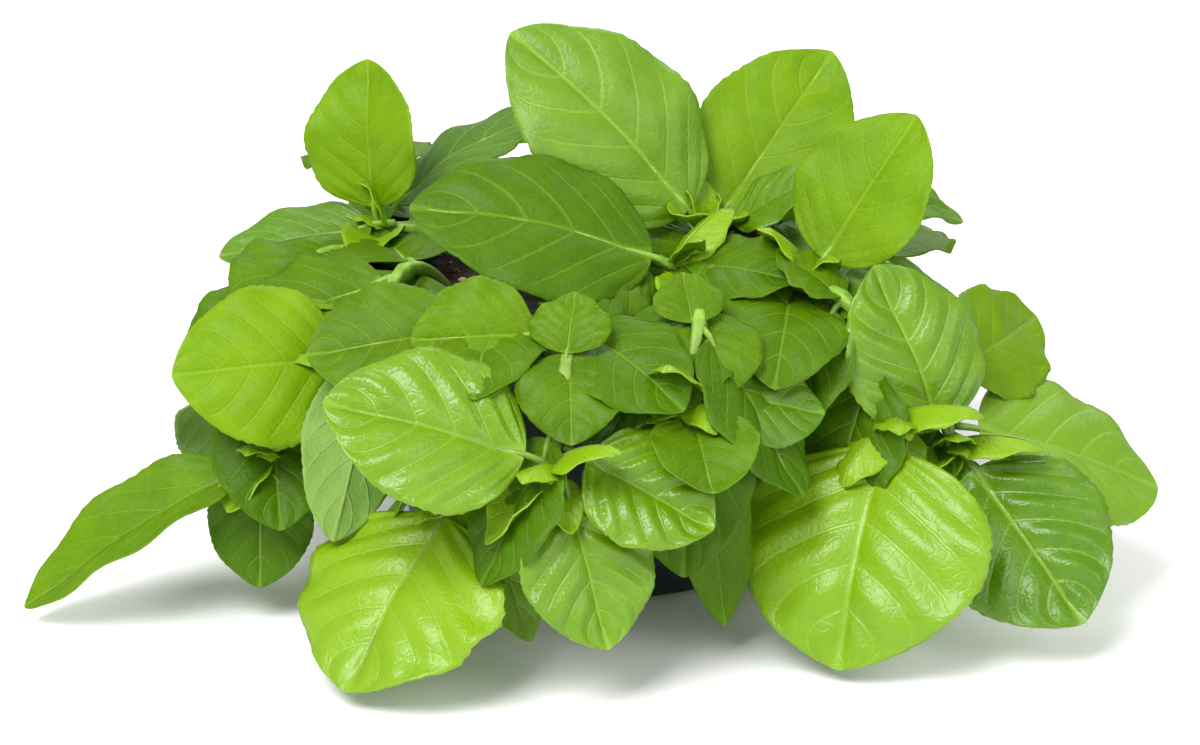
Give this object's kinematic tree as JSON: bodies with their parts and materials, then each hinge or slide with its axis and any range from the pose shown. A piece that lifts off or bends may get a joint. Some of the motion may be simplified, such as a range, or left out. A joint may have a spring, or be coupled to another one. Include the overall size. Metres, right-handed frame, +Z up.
{
  "type": "potted basil plant",
  "caption": "Bushy basil plant in a tapered plastic pot, its broad leaves spilling over the rim down to the surface.",
  "frame": {"origin": "centre of the pot's flat base, on the surface that it stands on", "axes": "+Z up along the pot's axis; -Y is the front, the side that the fullest leaves hang over; +X to the right seen from the front"},
  "size_m": [0.2711, 0.2418, 0.1331],
  "materials": {
    "pot": "satin black moulded plastic",
    "soil": null,
    "stem": "smooth green herb stem; paper stands in for plant tissue",
    "leaf": "glossy quilted basil leaf, matte and paler below; paper stands in for plant tissue"
  },
  "bodies": {
    "root": {"pot": "pot", "soil": "soil", "stem_left_high": "stem", "leaf_left_high_1": "leaf", "leaf_left_high_2": "leaf", "leaf_left_high_3": "leaf", "stem_left": "stem", "leaf_left_1": "leaf", "leaf_left_2": "leaf", "leaf_left_3": "leaf", "stem_far_left": "stem", "leaf_far_left_1": "leaf", "leaf_far_left_2": "leaf", "leaf_far_left_3": "leaf", "stem_front": "stem", "leaf_front_1": "leaf", "leaf_front_2": "leaf", "leaf_front_3": "leaf", "leaf_front_4": "leaf", "stem_low_left": "stem", "leaf_low_left_1": "leaf", "leaf_low_left_2": "leaf", "leaf_low_left_3": "leaf", "leaf_low_left_4": "leaf", "stem_top": "stem", "leaf_top_1": "leaf", "leaf_top_2": "leaf", "leaf_top_3": "leaf", "leaf_top_4": "leaf", "stem_middle": "stem", "leaf_middle_1": "leaf", "stem_right_high": "stem", "leaf_right_high_1": "leaf", "leaf_right_high_2": "leaf", "stem_right": "stem", "leaf_right_1": "leaf", "leaf_right_2": "leaf", "leaf_right_3": "leaf", "leaf_right_4": "leaf", "stem_front_right": "stem", "leaf_front_right_1": "leaf", "stem_low_right": "stem", "leaf_low_right_1": "leaf", "leaf_low_right_2": "leaf", "leaf_low_right_3": "leaf", "leaf_low_right_4": "leaf", "leaf_low_right_5": "leaf", "stem_back_left": "stem", "leaf_back_left_1": "leaf", "leaf_back_left_2": "leaf", "leaf_back_left_3": "leaf", "stem_back": "stem", "leaf_back_1": "leaf", "leaf_back_2": "leaf", "leaf_back_3": "leaf", "stem_back_right": "stem", "leaf_back_right_1": "leaf", "leaf_back_right_2": "leaf", "leaf_back_right_3": "leaf", "leaf_back_right_4": "leaf"}
  },
  "joints": []
}
